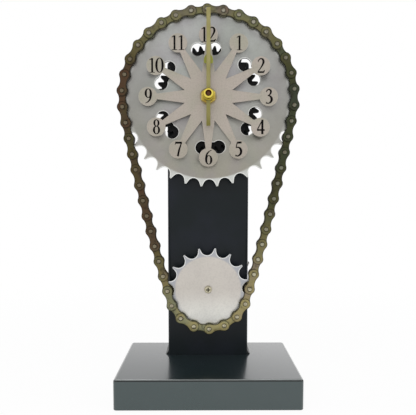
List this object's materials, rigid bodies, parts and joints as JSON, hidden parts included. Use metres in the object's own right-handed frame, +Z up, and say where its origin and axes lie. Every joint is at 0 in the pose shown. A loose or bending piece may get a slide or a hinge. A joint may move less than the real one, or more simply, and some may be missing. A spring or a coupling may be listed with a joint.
{
  "type": "table clock",
  "caption": "Free-standing table clock with a roller chain looped over a large and a small toothed wheel on a black post, a star-shaped dial with number discs and two slim hands.",
  "frame": {"origin": "centre of the footprint at table level, under the felt pads", "axes": "+X to the viewer's right, +Y away from the viewer, +Z up; the dial faces -Y"},
  "size_m": [0.1458, 0.0966, 0.3098],
  "materials": {
    "base_paint": "satin black powder coat",
    "post_paint": "semi-gloss black powder coat",
    "weld_paint": "powder-coated weld bead",
    "felt": "pressed felt",
    "sleeve_steel": "turned",
    "dial_nickel": "bead-blasted nickel plate with printed numbers",
    "brass": "polished",
    "hand_brass": "lacquered",
    "case_plastic": "moulded",
    "cover_plastic": "moulded",
    "gear_plastic": "moulded",
    "gasket_rubber": "matt",
    "cell_sleeve": "printed sleeve, bare ends",
    "contact_nickel": "plated",
    "board_green": "solder mask",
    "coil_wire": "lacquered copper wire on a bobbin",
    "chain_plate": "antique bronze plating",
    "chain_pin": "riveted ends",
    "chain_roller": "turned",
    "sprocket_grey": "satin zinc plate",
    "sprocket_silver": "satin zinc plate",
    "gear_black": "machined",
    "hub_black": "black oxide",
    "screw_steel": "zinc plate",
    "screw_black": "black oxide",
    "motor_can": "plated",
    "clamp_plastic": "moulded",
    "holder_plastic": "moulded",
    "tape_white": "foam",
    "switch_black": "moulded",
    "wire_black": "insulation",
    "wire_red": "insulation"
  },
  "bodies": {
    "frame": {"base_tray": "base_paint", "felt_pads": "felt", "post_channel": "post_paint", "post_welds": "weld_paint", "hub_sleeve": "sleeve_steel", "star_dial": "dial_nickel", "dial_washer": "brass", "dial_nut": "brass", "movement_case": "case_plastic", "threaded_neck": "brass", "movement_gasket": "gasket_rubber", "movement_cover": "cover_plastic", "movement_cell": "cell_sleeve", "movement_contacts": "contact_nickel", "movement_board": "board_green", "movement_coil": "coil_wire", "chain_outer_plates": "chain_plate", "chain_inner_plates": "chain_plate", "chain_pins": "chain_pin", "chain_bushes": "chain_roller", "chain_rollers": "chain_roller", "motor_gearbox": "brass", "motor_can": "motor_can", "motor_terminals": "contact_nickel", "motor_clamp": "clamp_plastic", "clamp_screws": "screw_black", "battery_holder": "holder_plastic", "foam_tape": "tape_white", "battery_cells": "cell_sleeve", "holder_contacts": "contact_nickel", "switch_body": "switch_black", "switch_tabs": "contact_nickel", "switch_screws": "screw_steel", "idler_screw": "screw_steel", "idler_spacer": "sleeve_steel", "idler_washer": "screw_steel", "idler_nut": "screw_steel", "wire_return": "wire_black", "wire_supply": "wire_red", "wire_motor": "wire_red"},
    "idler_wheel": {"small_sprocket": "sprocket_silver"},
    "chain_wheel": {"large_sprocket": "sprocket_grey", "drive_gear": "gear_black", "hub_bush": "hub_black", "hub_screws": "screw_black"},
    "drive_pinion": {"motor_pinion": "gear_black", "motor_shaft": "sleeve_steel"},
    "minute_train": {"minute_hand": "hand_brass", "minute_arbor": "brass", "minute_pinion": "gear_plastic", "hand_nut": "brass"},
    "hour_train": {"hour_hand": "hand_brass", "hour_wheel": "gear_plastic"},
    "motion_train": {"motion_wheel": "gear_plastic"},
    "setting_train": {"setting_knob": "gear_plastic"},
    "switch_lever": {"switch_slider": "switch_black"}
  },
  "joints": [
    {"name": "idler_turn", "type": "hinge", "parent": "frame", "child": "idler_wheel", "pos_m": [0, 0, 0.08232], "axis": [0, 1, 0], "continuous": true, "deforming": ["chain_outer_plates", "chain_inner_plates", "chain_pins", "chain_bushes", "chain_rollers"]},
    {"name": "chain_wheel_turn", "type": "hinge", "parent": "frame", "child": "chain_wheel", "pos_m": [0, 0, 0.2367], "axis": [0, 1, 0], "continuous": true},
    {"name": "motor_turn", "type": "hinge", "parent": "frame", "child": "drive_pinion", "pos_m": [0, 0, 0.1854], "axis": [0, 1, 0], "continuous": true},
    {"name": "minute_hand_turn", "type": "hinge", "parent": "frame", "child": "minute_train", "pos_m": [0, 0, 0.2367], "axis": [0, 1, 0], "continuous": true},
    {"name": "hour_hand_turn", "type": "hinge", "parent": "frame", "child": "hour_train", "pos_m": [0, 0, 0.2367], "axis": [0, 1, 0], "continuous": true},
    {"name": "motion_wheel_turn", "type": "hinge", "parent": "frame", "child": "motion_train", "pos_m": [-0.0125, 0, 0.2367], "axis": [0, 1, 0], "continuous": true},
    {"name": "setting_knob_turn", "type": "hinge", "parent": "frame", "child": "setting_train", "pos_m": [-0.0125, 0, 0.2492], "axis": [0, 1, 0], "continuous": true},
    {"name": "switch_slide", "type": "slide", "parent": "frame", "child": "switch_lever", "axis": [0, 1, 0], "range_m": [-0.0015, 0.0015]}
  ],
  "couplings": [
    {"joint": "chain_wheel_turn", "follows": "idler_turn", "ratio": 0.47059},
    {"joint": "motor_turn", "follows": "idler_turn", "ratio": -1.7647},
    {"joint": "hour_hand_turn", "follows": "minute_hand_turn", "ratio": 0.083333},
    {"joint": "motion_wheel_turn", "follows": "minute_hand_turn", "ratio": -0.33333},
    {"joint": "setting_knob_turn", "follows": "minute_hand_turn", "ratio": 1}
  ]
}
